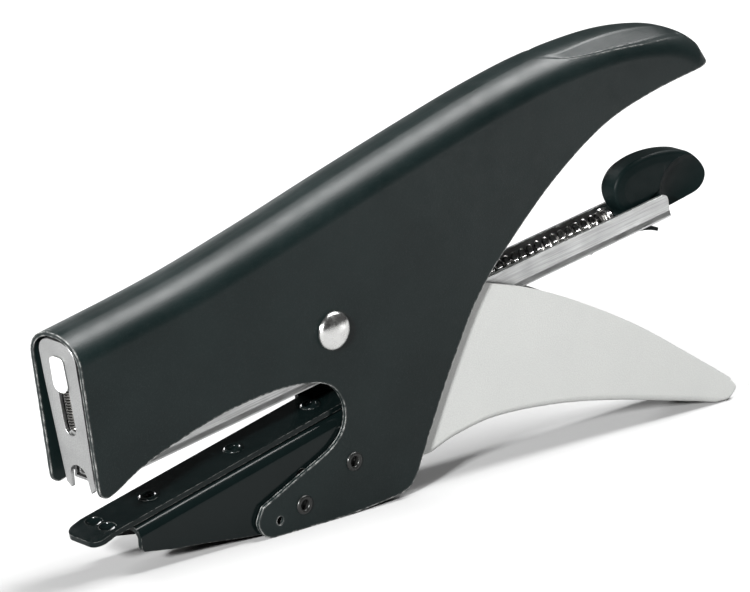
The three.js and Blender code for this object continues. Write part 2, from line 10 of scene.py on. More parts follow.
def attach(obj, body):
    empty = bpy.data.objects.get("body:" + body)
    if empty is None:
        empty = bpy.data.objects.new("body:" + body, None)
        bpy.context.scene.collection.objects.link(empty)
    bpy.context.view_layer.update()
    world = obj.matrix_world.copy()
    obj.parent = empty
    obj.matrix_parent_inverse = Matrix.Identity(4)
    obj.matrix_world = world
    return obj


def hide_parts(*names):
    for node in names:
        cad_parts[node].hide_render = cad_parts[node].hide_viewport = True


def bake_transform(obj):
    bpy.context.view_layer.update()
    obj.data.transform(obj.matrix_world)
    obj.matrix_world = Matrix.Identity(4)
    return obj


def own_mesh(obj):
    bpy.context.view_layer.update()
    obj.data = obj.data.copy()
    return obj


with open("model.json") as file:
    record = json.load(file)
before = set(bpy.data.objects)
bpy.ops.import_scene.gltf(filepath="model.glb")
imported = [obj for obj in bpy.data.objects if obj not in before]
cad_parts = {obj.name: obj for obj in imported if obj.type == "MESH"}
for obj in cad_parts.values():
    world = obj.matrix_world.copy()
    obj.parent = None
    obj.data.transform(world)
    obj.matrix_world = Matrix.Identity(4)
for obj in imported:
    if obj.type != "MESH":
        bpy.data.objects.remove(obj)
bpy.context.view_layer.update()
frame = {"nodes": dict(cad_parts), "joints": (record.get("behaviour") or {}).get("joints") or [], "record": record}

# The pieces are drawn in millimetres in the magazine's own frame: x runs back along the magazine floor
# from the shell's front edge, y across, z up from the floor. MAGAZINE carries them into the row frame.
RECORD = frame["record"]
JOINTS = {joint["name"]: joint for joint in frame["joints"]}
BODY_OF = {node: body for body, nodes in RECORD["behaviour"]["bodies"].items() for node in nodes}
SLOT_OF = {part["node"]: part["material_slot"] for part in RECORD["subparts"]}
MM = 0.001
MICRON = 1e-6
REAR = Vector(JOINTS["loader_pull"]["axis"]).normalized()
UP = Vector((-REAR.z, 0, REAR.x))
TILT = math.atan2(REAR.z, REAR.x)
PIVOT = (57.3, 10.5)
PIVOT_HOLE = 2.7
CORNER = Vector(JOINTS["handle_squeeze"]["pos_m"]) - MM * (PIVOT[0] * REAR + PIVOT[1] * UP)
MAGAZINE = Matrix.Translation(CORNER) @ Matrix.Rotation(-TILT, 4, "Y") @ Matrix.Scale(MM, 4)

# A name that ends in HALF is half a width across the stapler. The shell's back rises in a dome from the top
# of its walls, DOME_DROP high and DOME_WIDTH wide on each side of a narrow flat along the crown.
SHELL_HALF = 7.0
SHELL_SHEET = 0.8
DOME_DROP = 5.4
DOME_WIDTH = SHELL_HALF - 0.4
HANDLE_HALF = 5.8
MAGAZINE_HALF = 4.03
MAGAZINE_END = 146.8
MAGAZINE_WALL = 4.9
ANVIL_ORIGIN = (7.0, -8.5)
ANVIL_SLOPE = math.radians(3.7)
ANVIL_HALF = 5.9
ANVIL_PLATE_HALF = 4.7
ANVIL_PLATE_FRONT = -7.6
ANVIL_PLATE_REAR = 55.0
TONGUE_START = -3.4
TONGUE_DROP = 0.65
ANVIL_RIVETS = {"front": 8.9, "middle": 29.4, "rear": 48.5}
JAW_RIVETS = {"front": (45.3, -19.6), "rear": (58.2, -16.0)}
JAW_HOLE = (39.3, -20.4)
ARM_RIVET = (71.5, 9.5)
PLATE_FOOT = 1.4
PLATE_LEAN = math.radians(2.15)
SLOT_HALF = 1.55
SLOT_BOTTOM = 9.9
SLOT_TOP = 24.6
NOSE_BOTTOM = 19.6
RAIL_END = 108.0
ROD_HEIGHT = 3.4
ROD_RADIUS = 0.7
ROD_END = 141.0
SPRING_START = 12.1
SEAT_FACE = 132.6
CATCH_PIN = (127.5, -0.8)
KNOB_HALF = 2.5
KNOB_MIDDLE = (147, 6)

# Corners of one mesh that are nearer than this are one corner.
SAME_CORNER = 1e-3

# The anvil and the front plate lean a little, so each has a frame of its own inside the magazine's.
ANVIL_CORNER = Matrix.Translation((ANVIL_ORIGIN[0], 0, ANVIL_ORIGIN[1]))
ANVIL = MAGAZINE @ ANVIL_CORNER @ Matrix.Rotation(-ANVIL_SLOPE, 4, "Y")
HEAD = MAGAZINE @ Matrix.Translation((PLATE_FOOT, 0, 0)) @ Matrix.Rotation(-PLATE_LEAN, 4, "Y")


# ---------------------------------------------------------------- flat curves

def catmull(t, a, b, c, d):
    """The value at t of a curve that goes from b to c and would come from a and go on to d."""
    start = (c - a) / 2
    end = (d - b) / 2
    cubic = 2 * b - 2 * c + start + end
    square = 3 * c - 3 * b - 2 * start - end
    return cubic * t**3 + square * t**2 + start * t + b


def spline(*points, steps=10):
    """A smooth curve through the points, as a list of points."""
    last = len(points) - 1
    curve = []
    for i in range(last):
        around = [points[max(i - 1, 0)], points[i], points[i + 1], points[min(i + 2, last)]]
        for k in range(steps):
            curve.append(tuple(catmull(k / steps, *values) for values in zip(*around)))
    return curve + [points[-1]]


def bend(start, control, end, steps=8):
    """A quadratic curve from start to end, drawn towards control."""
    curve = []
    for k in range(steps + 1):
        t = k / steps
        weights = ((1 - t) ** 2, 2 * t * (1 - t), t * t)
        curve.append(tuple(
            sum(w * v for w, v in zip(weights, values)) for values in zip(start, control, end)
        ))
    return curve


def arc(centre, radius, start, end, steps=16):
    """Points on a circle from one angle to another, both in radians."""
    angles = [start + (end - start) * k / steps for k in range(steps + 1)]
    return [(centre[0] + radius * math.cos(a), centre[1] + radius * math.sin(a)) for a in angles]


def circle(centre, radius, steps=32):
    return arc(centre, radius, 0, 2 * math.pi, steps)[:-1]


def chained(*curves):
    """Joins curves end to end and drops points that repeat."""
    line = []
    for point in (p for curve in curves for p in curve):
        if not line or math.dist(point, line[-1]) > 1e-4:
            line.append(tuple(point))
    return line


def divided(line, step):
    """Puts further points on a line so that none are further apart than step."""
    fine = [line[0]]
    for start, end in zip(line, line[1:]):
        pieces = max(1, math.ceil(math.dist(start, end) / step))
        for k in range(1, pieces + 1):
            fine.append(tuple(a + (b - a) * k / pieces for a, b in zip(start, end)))
    return fine


def beside(line, *distances):
    """The line moved to its left, by one distance or by one for each point."""
    moved = []
    if len(distances) == 1:
        distances *= len(line)
    for i, ((x, z), distance) in enumerate(zip(line, distances)):
        before = line[max(i - 1, 0)]
        after = line[min(i + 1, len(line) - 1)]
        dx = after[0] - before[0]
        dz = after[1] - before[1]
        length = math.hypot(dx, dz)
        moved.append((x - dz / length * distance, z + dx / length * distance))
    return moved


def between(value, table):
    """Interpolation in a table of (place, value, value, ...) rows."""
    if value <= table[0][0]:
        return table[0][1:]
    for before, after in zip(table, table[1:]):
        if value <= after[0]:
            t = (value - before[0]) / (after[0] - before[0])
            return tuple(a + (b - a) * t for a, b in zip(before[1:], after[1:]))
    return table[-1][1:]


def crossing(line, axis, value):
    """The point where a line first passes a value of one coordinate."""
    for start, end in zip(line, line[1:]):
        if (start[axis] - value) * (end[axis] - value) <= 0 and start[axis] != end[axis]:
            t = (value - start[axis]) / (end[axis] - start[axis])
            return tuple(a + (b - a) * t for a, b in zip(start, end))
    raise ValueError("the line does not cross that value")


# ---------------------------------------------------------------- meshes

def inside(point, loop):
    """Whether a point lies inside a closed loop."""
    x, z = point
    crossed = False
    for (x0, z0), (x1, z1) in zip(loop, loop[1:] + loop[:1]):
        if (z0 > z) != (z1 > z) and x < x0 + (x1 - x0) * (z - z0) / (z1 - z0):
            crossed = not crossed
    return crossed


def fill(mesh, loops, y):
    """A flat wall at distance y: the first loop is its edge and the others are holes."""
    points = [Vector(point) for loop in loops for point in loop]
    edges = []
    for loop in loops:
        first = len(edges)
        edges += [(first + k, first + (k + 1) % len(loop)) for k in range(len(loop))]
    triangles_within_edges = 1
    result = delaunay_2d_cdt(points, edges, [], triangles_within_edges, 1e-5)
    places = result[0]
    triangles = result[2]
    corners = [mesh.verts.new((place.x, y, place.y)) for place in places]
    for triangle in triangles:
        middle = sum((places[i] for i in triangle), Vector((0, 0))) / 3
        if not any(inside(middle, hole) for hole in loops[1:]):
            mesh.faces.new([corners[i] for i in triangle])


def folded(outer, inner, sections, half, edge, holes=()):
    """An open skin: two flat walls and the rounded fold that joins them. The fold runs from the inner line
    on one wall over the outer line to the other, and edge is the walls' other side. Each place along the
    fold has a section, a list of (inset from the wall, rise from the inner line to the outer one)."""
    mesh = bmesh.new()
    for y in (-half, half):
        fill(mesh, [list(inner) + list(edge), *holes], y)
    columns = []
    for start, end, section in zip(inner, outer, sections):
        near = [(-half + inset, rise) for inset, rise in section]
        far = [(-y, rise) for y, rise in reversed(near)]
        column = []
        for y, rise in near + far:
            x, z = (a + (b - a) * rise for a, b in zip(start, end))
            column.append(mesh.verts.new((x, y, z)))
        columns.append(column)
    for left, right in zip(columns, columns[1:]):
        for k in range(len(left) - 1):
            mesh.faces.new((left[k], left[k + 1], right[k + 1], right[k]))
    bmesh.ops.remove_doubles(mesh, verts=mesh.verts, dist=SAME_CORNER)
    bmesh.ops.recalc_face_normals(mesh, faces=mesh.faces)
    wall = min(mesh.faces, key=lambda face: face.calc_center_median().y)
    if wall.normal.y > 0:
        bmesh.ops.reverse_faces(mesh, faces=mesh.faces)
    return mesh


def round_fold(radius, steps=6):
    """A section for folded() that is a quarter of a circle, if the two lines are radius apart."""
    angles = [k / steps * math.pi / 2 for k in range(steps + 1)]
    return [(radius * (1 - math.cos(a)), math.sin(a)) for a in angles]


def slab(loops, start, end, order=(0, 1, 2)):
    """A flat outline with holes, made thick from start to end. order says which of outline x, thickness
    and outline z becomes x, y and z."""
    mesh = bmesh.new()
    fill(mesh, loops, start)
    grown = bmesh.ops.extrude_face_region(mesh, geom=mesh.faces[:])["geom"]
    moved = [item for item in grown if isinstance(item, bmesh.types.BMVert)]
    bmesh.ops.translate(mesh, verts=moved, vec=(0, end - start, 0))
    for vertex in mesh.verts:
        vertex.co = [vertex.co[i] for i in order]
    bmesh.ops.recalc_face_normals(mesh, faces=mesh.faces)
    return mesh


def block(x0, x1, y0, y1, z0, z1):
    return slab([[(x0, z0), (x1, z0), (x1, z1), (x0, z1)]], y0, y1)


def turned(profile, centre=(0, 0, 0), axis="y", steps=48, closed=False):
    """A profile of (radius, distance) pairs turned about an axis through centre."""
    mesh = bmesh.new()
    turn = {
        "x": Matrix.Rotation(math.pi / 2, 3, "Y"),
        "y": Matrix.Rotation(-math.pi / 2, 3, "X"),
        "z": Matrix.Identity(3),
    }[axis]
    rings = []
    for radius, distance in profile:
        ring = []
        for x, y in circle((0, 0), radius, steps) if radius > 0 else [(0, 0)]:
            ring.append(mesh.verts.new(turn @ Vector((x, y, distance)) + Vector(centre)))
        rings.append(ring)
    pairs = list(zip(rings, rings[1:]))
    if closed:
        pairs.append((rings[-1], rings[0]))
    for lower, upper in pairs:
        for k in range(steps):
            n = (k + 1) % steps
            around = ((lower, k), (lower, n), (upper, n), (upper, k))
            corners = [ring[i % len(ring)] for ring, i in around]
            unique = [corner for i, corner in enumerate(corners) if corner not in corners[:i]]
            mesh.faces.new(unique)
    bmesh.ops.recalc_face_normals(mesh, faces=mesh.faces)
    return mesh


def tube(path, radius, sides=8):
    """A round wire along a path of points, with closed ends."""
    mesh = bmesh.new()
    path = [Vector(point) for point in path]
    across = Vector((0, 0, 1)) if abs((path[1] - path[0]).normalized().z) < 0.9 else Vector((0, 1, 0))
    rings = []
    for i, point in enumerate(path):
        along = (path[min(i + 1, len(path) - 1)] - path[max(i - 1, 0)]).normalized()
        across = (across - across.dot(along) * along).normalized()
        side = along.cross(across)
        offsets = [radius * (math.cos(a) * across + math.sin(a) * side)
                   for a in (2 * math.pi * k / sides for k in range(sides))]
        rings.append([mesh.verts.new(point + offset) for offset in offsets])
    for lower, upper in zip(rings, rings[1:]):
        for k in range(sides):
            mesh.faces.new((lower[k], lower[(k + 1) % sides], upper[(k + 1) % sides], upper[k]))
    mesh.faces.new(rings[0])
    mesh.faces.new(rings[-1])
    bmesh.ops.recalc_face_normals(mesh, faces=mesh.faces)
    return mesh


def egg(sizes, centre, segments, rings):
    """A ball stretched to a half size along each axis."""
    mesh = bmesh.new()
    bmesh.ops.create_uvsphere(mesh, u_segments=segments, v_segments=rings, radius=1)
    bmesh.ops.scale(mesh, verts=mesh.verts, vec=sizes)
    bmesh.ops.translate(mesh, verts=mesh.verts, vec=centre)
    return mesh


def coil(radius, start, end, wire, turns, per_turn=16, dead=1.5):
    """Points of a compression spring along z, with dead turns lying close at both ends. wire is the wire's
    radius, and each dead turn rises by slightly more than two of it."""
    total = turns * per_turn
    dead_rise = dead * wire * 2.05
    live_rise = end - start - 2 * dead_rise
    points = []
    for k in range(total + 1):
        turn = k / per_turn
        if turn < dead:
            z = start + dead_rise * turn / dead
        elif turn > turns - dead:
            z = end - dead_rise * (turns - turn) / dead
        else:
            z = start + dead_rise + live_rise * (turn - dead) / (turns - 2 * dead)
        angle = 2 * math.pi * turn
        points.append((radius * math.cos(angle), radius * math.sin(angle), z))
    return points


def joined(*meshes):
    """Puts several closed meshes into one."""
    whole = meshes[0]
    for mesh in meshes[1:]:
        spare = bpy.data.meshes.new("spare")
        mesh.to_mesh(spare)
        whole.from_mesh(spare)
        bpy.data.meshes.remove(spare)
    return whole


# ---------------------------------------------------------------- from a mesh to a finished piece

def as_object(name, mesh):
    data = bpy.data.meshes.new(name)
    mesh.to_mesh(data)
    mesh.free()
    made = bpy.data.objects.new(name, data)
    bpy.context.scene.collection.objects.link(made)
    return made


def apply_modifiers(made):
    graph = bpy.context.evaluated_depsgraph_get()
    graph.update()
    data = bpy.data.meshes.new_from_object(made.evaluated_get(graph), depsgraph=graph)
    made.modifiers.clear()
    made.data = data


def thicken(made, sheet):
    """Gives an open skin a thickness, inwards."""
    modifier = made.modifiers.new("sheet", "SOLIDIFY")
    modifier.thickness = sheet
    modifier.offset = -1
    modifier.use_even_offset = True
    modifier.use_quality_normals = True


def drill(made, cutter, solver):
    modifier = made.modifiers.new("cut", "BOOLEAN")
    modifier.operation = "DIFFERENCE"
    modifier.solver = solver
    modifier.object = cutter


def round_edges(made, width, least_angle):
    """Rounds every edge that turns by more than the least angle, in degrees."""
    modifier = made.modifiers.new("edges", "BEVEL")
    modifier.width = width
    modifier.segments = 3
    modifier.limit_method = "ANGLE"
    modifier.angle_limit = math.radians(least_angle)
    modifier.use_clamp_overlap = True


def smooth(made, sharp_angle):
    """Shades a mesh smooth, apart from edges sharper than an angle in degrees."""
    made.data.shade_smooth()
    made.data.set_sharp_from_angle(angle=math.radians(sharp_angle))
    modifier = made.modifiers.new("normals", "WEIGHTED_NORMAL")
    modifier.keep_sharp = True


def piece(node, mesh, matrix=MAGAZINE, sheet=0.0, bevel=0.0, cutters=(), solver="EXACT", sharp_angle=35,
          bevel_angle=40, name=None, rides=True):
    """Thickens, drills and rounds a mesh, and sets it up as the piece that stands for a CAD node. A piece
    with a name of its own is a further part of that node. With rides=False the caller says how it moves."""
    made = as_object(name or node + "_fine", mesh)
    if sheet:
        thicken(made, sheet)
        apply_modifiers(made)
    spare = [as_object("cutter", cutter) for cutter in cutters]
    for cutter in spare:
        drill(made, cutter, solver)
    if bevel:
        round_edges(made, bevel, bevel_angle)
    apply_modifiers(made)
    for cutter in spare:
        bpy.data.objects.remove(cutter)
    smooth(made, sharp_angle)
    apply_modifiers(made)
    made.data.transform(matrix)
    made.data.materials.clear()
    made.data.materials.append(MATERIALS[SLOT_OF[node]])
    if rides:
        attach(made, BODY_OF[node])
    if not name:
        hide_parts(node)
    return made


def refined(node, bevel):
    """A CAD node's own shape with its flat faces cleaned up and its edges rounded."""
    mesh = bmesh.new()
    mesh.from_mesh(frame["nodes"][node].data)
    bmesh.ops.transform(mesh, matrix=MAGAZINE.inverted(), verts=mesh.verts)
    bmesh.ops.remove_doubles(mesh, verts=mesh.verts, dist=SAME_CORNER)
    bmesh.ops.dissolve_limit(mesh, angle_limit=math.radians(1), verts=mesh.verts, edges=mesh.edges)
    piece(node, mesh, bevel=bevel)


# ---------------------------------------------------------------- shell

# The line along the shell's back, from under the tail to beyond the front, where it is cut off.
CROWN = [
    (161.1, 27), (159.8, 31), (155.4, 35), (148, 38.5), (136, 41.175), (120, 42.05), (105, 41.275),
    (89, 39.5), (66, 36.5), (44, 33.4), (22, 31), (-12, 29.4),
]
SHELL_FRONT = 0.1

# The shell's tail is open below, with its rim at the height TAIL_RIM behind TAIL_START. The walls' edge is
# drawn up to TAIL_EDGE_END, and from there the rim closes it.
TAIL_RIM = 28.3
TAIL_START = 140.0
TAIL_EDGE_END = 155.3

# The thumb rest: a long hollow pressed into each flank of the crown, with a flat above and a narrow ledge
# below. Each row gives a place along the shell; in degrees round the dome from the wall, where the ledge
# starts, where ledge and flat meet and where the flat ends; and how deep they meet under the dome. Where it
# is less deep than REST_FADE, its outline melts into the dome.
THUMB_REST = [
    (117.5, 76, 78, 80, 0), (120.5, 58, 65, 72, 0.15), (124, 45, 51, 64, 0.4), (130, 35, 42, 67, 0.62),
    (138, 31, 39, 70, 0.7), (144, 32, 43, 73, 0.68), (150, 41, 54, 78, 0.55), (154.4, 53, 66, 82, 0.4),
    (155.4, 56, 69, 84, 0),
]
REST_LINE = spline(*THUMB_REST)
REST_FADE = 0.3


def dome_point(angle):
    """A point of the plain dome as folded() takes it: inset from the wall, and rise from 0 to 1."""
    return DOME_WIDTH * (1 - math.cos(angle)), math.sin(angle)


def rest_face(low, high, start, end, fade, steps):
    """One face of the thumb rest: straight from start to end if fade is 1, and on the dome if it is 0."""
    face = []
    for k in range(steps):
        t = k / steps
        straight = [a + (b - a) * t for a, b in zip(start, end)]
        dome = dome_point(low + (high - low) * t)
        face.append(tuple(a + (b - a) * fade for a, b in zip(dome, straight)))
    return face


def dome_section(x):
    """The section of the shell's back at one place, with the thumb rest where it has one."""
    low, seam, top, depth = between(x, REST_LINE)
    low, seam, top = (math.radians(a) for a in (low, seam, top))
    inward = Vector((DOME_DROP * math.cos(seam), -DOME_WIDTH * math.sin(seam))).normalized()
    inset, rise = dome_point(seam)
    hollow = (inset + depth * inward.x, rise + depth * inward.y / DOME_DROP)
    fade = min(1.0, depth / REST_FADE)
    section = [dome_point(low * k / 8) for k in range(8)]
    section += rest_face(low, seam, dome_point(low), hollow, fade, 4)
    section += rest_face(seam, top, hollow, dome_point(top), fade, 8)
    section += [dome_point(top + (math.pi / 2 - top) * k / 6) for k in range(7)]
    return section


def shell_edge():
    """The walls' free edge, from the front down round the mouth and the lip and up to the tail."""
    edge = chained(
        [(SHELL_FRONT, 20), (SHELL_FRONT, 1.2)],
        bend((SHELL_FRONT, 1.2), (0.2, -1.1), (2.6, -0.7)),
        spline((2.6, -0.7), (4.6, -0.1), (9.6, 1.7), (16.8, 3.2), (28.9, 4.6), (40, 4.5), (48, 3.3),
               (54.5, 0.8), (57.5, -3.4), (57.2, -8.2), (53.5, -11.5), (44.5, -14.1), (35.9, -16.5)),
        spline((35.9, -16.5), (34.3, -19.2), (35.4, -22), (37.5, -23.08)),
        [(51, -25.22)],
        spline((51, -25.22), (60, -26.2), (69.2, -26.6), (72.4, -24.9), (74.6, -21.8)),
        spline((74.6, -21.8), (77.2, -17.6), (83.8, -7.7), (93.4, 4.5), (105.2, 13.5), (116.7, 20.5),
               (129.4, 25.8), (142, 27.8), (156.4, 28.3)),
    )
    return [point for point in edge if point[0] < TAIL_EDGE_END]


def shell_back():
    """The crown's line and the line along the top of the walls, from the tail's rim to the shell's front."""
    crown = divided(spline(*CROWN, steps=14), 0.9)
    wall_top = beside(crown, DOME_DROP)
    margin = 0.05
    outer = [crossing(crown, 1, TAIL_RIM)]
    inner = [crossing(wall_top, 1, TAIL_RIM)]
    for above, below in zip(crown, wall_top):
        behind_front = min(above[0], below[0]) > SHELL_FRONT + margin
        above_rim = min(above[1], below[1]) > TAIL_RIM + margin
        if behind_front and (above_rim or above[0] < TAIL_START):
            outer.append(above)
            inner.append(below)
    outer.append(crossing(crown, 0, SHELL_FRONT))
    inner.append(crossing(wall_top, 0, SHELL_FRONT))
    return outer, inner


def body_shell():
    outer, inner = shell_back()
    sections = [dome_section(x) for x, z in outer]
    rivet_holes = [circle(place, 1.5) for place in JAW_RIVETS.values()]
    holes = [circle(PIVOT, PIVOT_HOLE), *rivet_holes, circle(JAW_HOLE, 0.8, 20)]
    mesh = folded(outer, inner, sections, SHELL_HALF, shell_edge(), holes)
    piece("body_shell", mesh, sheet=SHELL_SHEET, bevel=0.22, sharp_angle=32, bevel_angle=55)


def half_ellipse(inner, outer, rise, base, steps=10):
    """A rolled lip in a profile, from the outer radius over its top to the inner one."""
    middle = (inner + outer) / 2
    width = (outer - inner) / 2
    angles = [math.pi * k / steps for k in range(steps + 1)]
    return [(middle + width * math.cos(a), base + rise * math.sin(a)) for a in angles]


def mirrored(half_profile):
    """Repeats a profile on the other side of y = 0."""
    return [(radius, -distance) for radius, distance in reversed(half_profile)] + half_profile


def main_pivot_rivet():
    """A cross rivet with a domed head on a short rim at each end."""
    face = SHELL_HALF + 0.05
    rim = 0.12
    rise = 1.6
    angles = [math.pi / 2 * k / 12 for k in range(12)]
    head = [(3.7 * math.cos(a), face + rim + rise * math.sin(a)) for a in angles]
    profile = mirrored([(2.5, 0), (2.5, face), (3.6, face), *head, (0, face + rim + rise)])
    piece("main_pivot_rivet", turned(profile, (PIVOT[0], 0, PIVOT[1]), steps=64))


def jaw_rivets():
    """Tubular rivets, each with a rolled lip round a blind hole at both ends."""
    face = SHELL_HALF + 0.05
    shank = [(1.3, 0), (1.3, face - 0.1)]
    lip = half_ellipse(0.95, 1.8, 0.36, face)
    hole = [(0.9, face - 0.7), (0.75, face - 0.86), (0, face - 0.9)]
    profile = mirrored(shank + lip + hole)
    for place, (x, z) in JAW_RIVETS.items():
        piece("jaw_rivet_" + place, turned(profile, (x, 0, z), steps=40))


def pivot_sleeve():
    profile = mirrored([(3.4, 1.8), (3.3, 1.9), (2.9, 1.9), (2.8, 1.8)])
    piece("pivot_sleeve", turned(profile, (PIVOT[0], 0, PIVOT[1]), closed=True))


def handle_torsion_spring():
    """Nearly four close turns round the sleeve, with a straight leg at each end."""
    radius = 4.1
    half = 1.2
    per_turn = 24
    first = math.radians(18)
    angles = [first + 2 * math.pi * k / per_turn for k in range(per_turn * 4 - 5)]
    pitch = 2 * half / len(angles)
    turns = [(PIVOT[0] + radius * math.cos(a), half - k * pitch, PIVOT[1] + radius * math.sin(a))
             for k, a in enumerate(angles)]
    upper_leg = [(76.8, half, 35.3), (66, half, 19)]
    lower_leg = [(44, -half, 14.6), (34.4, -half, 16.6)]
    spring = piece("handle_torsion_spring", tube(upper_leg + turns + lower_leg, 0.38, 10), rides=False)
    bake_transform(spring)


# ---------------------------------------------------------------- anvil

def anvil_plate():
    """The striking strip, with round front corners, a tongue that drops a little and two clinch scoops."""
    half = ANVIL_PLATE_HALF
    corner = 2.4
    front = ANVIL_PLATE_FRONT
    plan = chained(
        [(ANVIL_PLATE_REAR, -half), (ANVIL_PLATE_REAR, half), (TONGUE_START, half)],
        arc((front + corner, half - corner), corner, math.pi / 2, math.pi, 12),
        arc((front + corner, corner - half), corner, math.pi, 1.5 * math.pi, 12),
        [(TONGUE_START, -half)],
    )
    holes = [circle((x, 0), 1.3) for x in ANVIL_RIVETS.values()]
    mesh = slab([plan, *holes], -1, 0, (0, 2, 1))
    for vertex in mesh.verts:
        along_tongue = (TONGUE_START - vertex.co.x) / (TONGUE_START - front)
        vertex.co.z -= TONGUE_DROP * max(0.0, along_tongue)
    scoops = [egg((1.5, 1.8, 0.85), (-2.6, side * 1.9, 0.12), 40, 20) for side in (-1, 1)]
    piece("anvil_plate", mesh, ANVIL, bevel=0.27, cutters=scoops)


def anvil_arm():
    """The channel under the strip: a flat top, two rounded folds and walls that run back into the lip."""
    top = -1.25
    fold = 2.3
    crest = divided([(54.6, top), (1.2, top)], 3)
    inner = [(x, z - fold) for x, z in crest]
    edge = chained(
        [(1, -5)],
        bend((1, -5), (1, -6), (2, -6.3)),
        spline((2, -6.3), (8, -8.6), (15, -10.9), (28, -15.3), (40, -17.6), (55, -20.1), (62, -20.8)),
        [(62.4, -18), (59.5, -9), (55.2, top - fold - 0.5)],
    )
    turn = Matrix.Rotation(ANVIL_SLOPE, 2)
    holes = [circle(turn @ Vector((x - ANVIL_ORIGIN[0], z - ANVIL_ORIGIN[1])), 1.4)
             for x, z in JAW_RIVETS.values()]
    mesh = folded(crest, inner, [round_fold(fold, 8)] * len(crest), ANVIL_HALF, edge, holes)
    bore = [(0, -4), (1.35, -4), (1.35, 1), (0, 1)]
    drills = [turned(bore, (x, 0, 0), "z", 32) for x in ANVIL_RIVETS.values()]
    piece("anvil_arm", mesh, ANVIL, sheet=1.0, bevel=0.2, cutters=drills, bevel_angle=55)


def anvil_rivets():
    """Rivets with a flat foot under the arm and a dimpled head above the strip."""
    foot = [(0, -3.1), (1.5, -3.1), (1.75, -2.95), (1.85, -2.65), (1.2, -2.6)]
    lip = half_ellipse(0.95, 1.9, 0.36, 0.04)
    dimple = [(0.8, -0.1), (0.55, -0.3), (0.3, -0.4), (0, -0.43)]
    profile = [*foot, (1.2, 0.02), *lip, *dimple]
    for place, x in ANVIL_RIVETS.items():
        piece("anvil_rivet_" + place, turned(profile, (x, 0, 0), "z", 40), ANVIL)


# ---------------------------------------------------------------- lower handle

def lower_handle():
    """A channel that is open above. Its underside ends in a tip, where the folds get tighter."""
    crease = divided(chained(
        bend((73.3, -18.7), (74.5, -23.6), (79.4, -22.7), 10),
        spline((79.4, -22.7), (85.5, -21.85), (96, -22.2), (111.4, -25.7), (126.9, -30.9), (142.6, -37.2),
               (152.6, -41.3)),
        spline((152.6, -41.3), (155.9, -41.68), (158.2, -39.9), (157, -37.7), steps=8),
    ), 1.6)
    edge = chained(
        spline((157, -37.7), (147.8, -29.6), (132.9, -17), (118.1, -6.5), (107.1, 0.1), (96.2, 5.2))[1:],
        spline((96.2, 5.2), (84, 10.5), (72, 16.2), (61, 18.6)),
        arc(PIVOT, 8.6, 1.1, 4.2, 24),
        spline((60, 2.2), (66, -3), (70.8, -12), (73.3, -18.7), steps=8)[:-1],
    )
    tip = 156
    tip_radius = 0.7
    radii = [tip_radius * (1 + min(1.0, max(0.0, (tip - x) / 8))) for x, z in crease]
    inner = beside(crease, *radii)
    holes = [circle(PIVOT, PIVOT_HOLE), circle(ARM_RIVET, 1.3)]
    mesh = folded(crease, inner, [round_fold(radius, 7) for radius in radii], HANDLE_HALF, edge, holes)
    piece("lower_handle", mesh, sheet=1.0, bevel=0.22, bevel_angle=55)


def arm_rivet():
    face = HANDLE_HALF + 0.02
    head = [(1.9, face), (1.85, face + 0.14), (1.4, face + 0.24), (0, face + 0.27)]
    profile = mirrored([(1.2, 0), (1.2, face), *head])
    piece("arm_rivet", turned(profile, (ARM_RIVET[0], 0, ARM_RIVET[1]), steps=32))


# ---------------------------------------------------------------- head

def front_plate():
    """A steel plate with a slot, an arch between its two feet and a small tab that the spring stands on."""
    leg = [(-2.6, -0.9), (-2.9, -0.9), (-3.95, 0), (-4.9, 20), (-4.95, 25.4)]
    outline = chained(
        leg, bend((-4.95, 25.4), (-4.75, 27.9), (-1.8, 28.5)),
        bend((1.8, 28.5), (4.75, 27.9), (4.95, 25.4)), [(-y, z) for y, z in reversed(leg)],
        arc((0, 1.7), 2.3, 0, math.pi, 18),
    )
    slot = chained(
        [(SLOT_HALF, SLOT_TOP), (-SLOT_HALF, SLOT_TOP)],
        arc((0, SLOT_BOTTOM + SLOT_HALF), SLOT_HALF, math.pi, 2 * math.pi, 14),
    )
    sheet = slab([outline, slot], 0, 0.8, (1, 0, 2))
    tab = slab([[(-1.2, -0.9), (1.2, -0.9), (1.2, 0.2), (0.35, 1.0), (-1.2, 0.5)]], 0.4, 2.8, (1, 0, 2))
    bmesh.ops.translate(tab, verts=tab.verts, vec=(0, 0, SLOT_BOTTOM))
    piece("front_plate", joined(sheet, tab), HEAD, bevel=0.14)


def return_spring():
    wire = 0.21
    behind_plate = 1.4
    path = coil(1.03, SLOT_BOTTOM + 0.95, NOSE_BOTTOM - 0.35, wire, turns=16)
    mesh = tube([(x + behind_plate, y, z) for x, y, z in path], wire)
    spring = piece("return_spring", mesh, HEAD)
    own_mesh(spring)


def drive_nose():
    """The rounded face seen in the slot, and the steps behind it down to the drive arm."""
    head = chained(
        bend((-1.8, 20.2), (-1.8, 18.5), (0, 18.5)), bend((0, 18.5), (1.8, 18.5), (1.8, 20.2)),
        bend((1.7, 24), (1.7, 25.3), (0.6, 25.3)), bend((-0.6, 25.3), (-1.7, 25.3), (-1.7, 24)),
    )
    face = slab([head], -0.5, -0.12, (1, 0, 2))
    neck = block(-0.2, 2.6, -1.25, 1.25, NOSE_BOTTOM, 24.3)
    shoulder = block(2.4, 4.8, -2.9, 2.9, NOSE_BOTTOM, 24.3)
    tail = block(4.6, 10, -1.9, 1.9, NOSE_BOTTOM + 0.4, 22.7)
    piece("drive_nose", joined(face, neck, shoulder, tail), HEAD, bevel=0.13)


# ---------------------------------------------------------------- magazine

